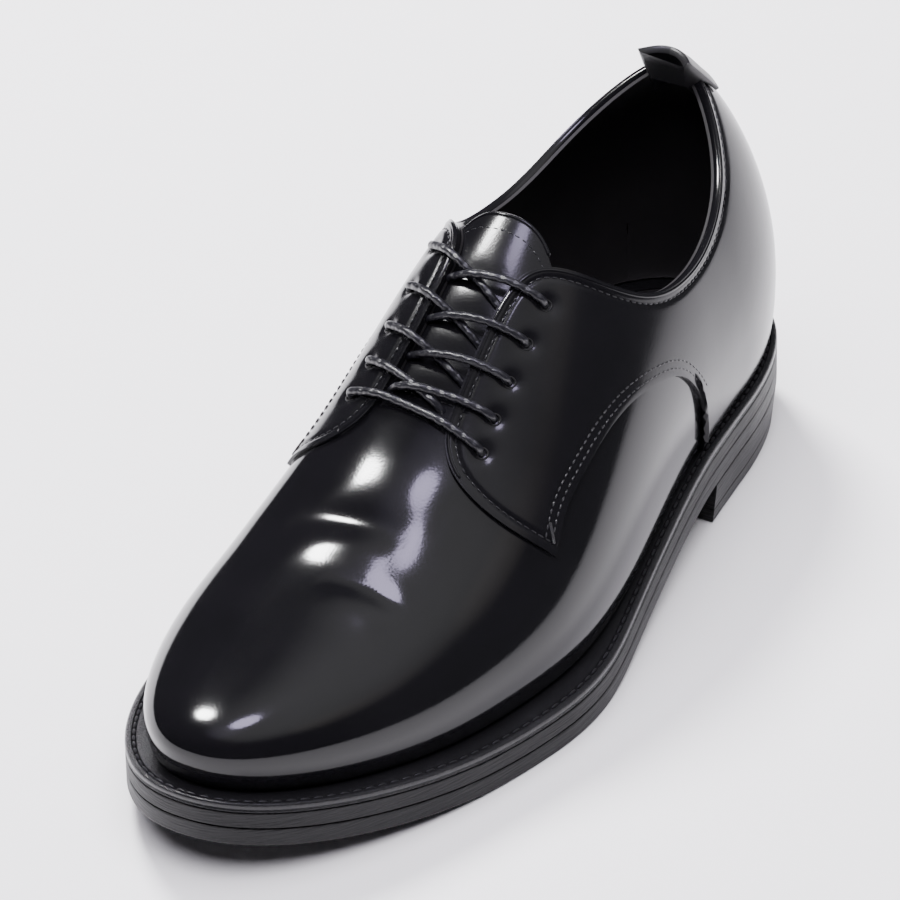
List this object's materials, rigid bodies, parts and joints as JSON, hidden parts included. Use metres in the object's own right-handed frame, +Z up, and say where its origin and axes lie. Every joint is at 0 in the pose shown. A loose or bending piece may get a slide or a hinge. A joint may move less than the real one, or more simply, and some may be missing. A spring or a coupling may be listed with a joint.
{
  "type": "lace-up shoe",
  "caption": "Low plain-toe lace-up shoe for the left foot, with a polished leather upper, open lacing, a welted rubber sole with a stacked heel and a pull tab at the back.",
  "frame": {"origin": "on the floor, in the middle of the sole's length and of its width", "axes": "+Z up; -Y towards the toe and +Y towards the heel; +X towards the outer side of the left foot"},
  "size_m": [0.1124, 0.3002, 0.1214],
  "materials": {
    "polished_leather": "highly polished, smooth",
    "tab_leather": "satin",
    "insole_leather": "matt",
    "welt": "satin, grooved and stitched",
    "midsole_rubber": "matt",
    "outsole_rubber": "matt",
    "lace": "waxed, round"
  },
  "bodies": {
    "root": {"outsole": "outsole_rubber", "heel": "outsole_rubber", "midsole": "midsole_rubber", "welt": "welt", "insole": "insole_leather", "upper": "polished_leather", "tongue": "polished_leather", "pull_tab": "tab_leather", "lace_bar": "lace", "lace_crossing_1": "lace", "lace_crossing_2": "lace", "lace_crossing_3": "lace", "lace_crossing_4": "lace"}
  },
  "joints": []
}
